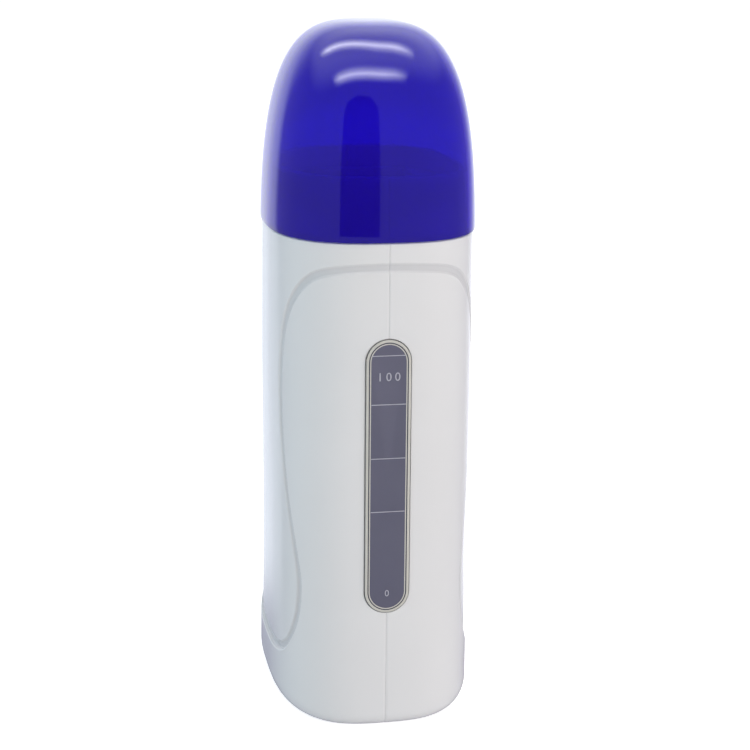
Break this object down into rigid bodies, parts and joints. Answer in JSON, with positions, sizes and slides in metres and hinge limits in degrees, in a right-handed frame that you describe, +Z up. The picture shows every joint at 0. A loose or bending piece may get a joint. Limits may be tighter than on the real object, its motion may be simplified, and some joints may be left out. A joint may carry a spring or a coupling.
{
  "type": "wax heater",
  "caption": "Upright roll-on wax heater: two-shell body with grip hollows, clear level window in the narrow front, cartridge chamber between heated plates, mains inlet and a lift-off dome cap.",
  "frame": {"origin": "middle of the foot, on the surface that the heater stands on", "axes": "+Z up through the cap, the narrow face with the level window towards -Y, the left broad side towards -X"},
  "size_m": [0.0618, 0.0814, 0.205],
  "materials": {
    "white_shell": "satin moulded white ABS",
    "blue_cap": "polished translucent blue polystyrene",
    "clear_window": "polished clear polycarbonate",
    "pale_frame": "pale heat-resistant plastic",
    "plate_aluminium": "pressed sheet",
    "ptc_case": "film-wrapped casing",
    "mica": "pressed mica sheet",
    "spring_steel": "rolled strip",
    "black_plastic": "moulded black",
    "brass_pin": "turned",
    "red_lens": "polished translucent red",
    "lamp_glass": "clear glass",
    "resistor_coat": "lacquered",
    "live_sleeve": "brown silicone sleeve",
    "neutral_sleeve": "blue silicone sleeve",
    "zinc_screw": "zinc-plated"
  },
  "bodies": {
    "housing": {"left_shell": "white_shell", "right_shell": "white_shell", "level_window": "clear_window", "chamber_frame": "pale_frame", "left_heater_plate": "plate_aluminium", "right_heater_plate": "plate_aluminium", "left_ptc_heater": "ptc_case", "right_ptc_heater": "ptc_case", "left_mica_sheet": "mica", "right_mica_sheet": "mica", "left_leaf_spring": "spring_steel", "right_leaf_spring": "spring_steel", "thermal_fuse": "plate_aluminium", "inlet_housing": "black_plastic", "inlet_live_pin": "brass_pin", "inlet_neutral_pin": "brass_pin", "pilot_lens": "red_lens", "neon_lamp": "lamp_glass", "lamp_resistor": "resistor_coat", "left_live_wire": "live_sleeve", "left_neutral_wire": "neutral_sleeve", "right_live_wire": "live_sleeve", "right_neutral_wire": "neutral_sleeve", "fuse_link_wire": "live_sleeve", "lamp_live_lead": "live_sleeve", "lamp_neutral_lead": "neutral_sleeve", "front_shell_screw": "zinc_screw", "rear_shell_screw": "zinc_screw"},
    "cap": {"cap": "blue_cap"}
  },
  "joints": [
    {"name": "cap_lift", "type": "slide", "parent": "housing", "child": "cap", "axis": [0, 0, 1], "range_m": [0, 0.04]}
  ]
}
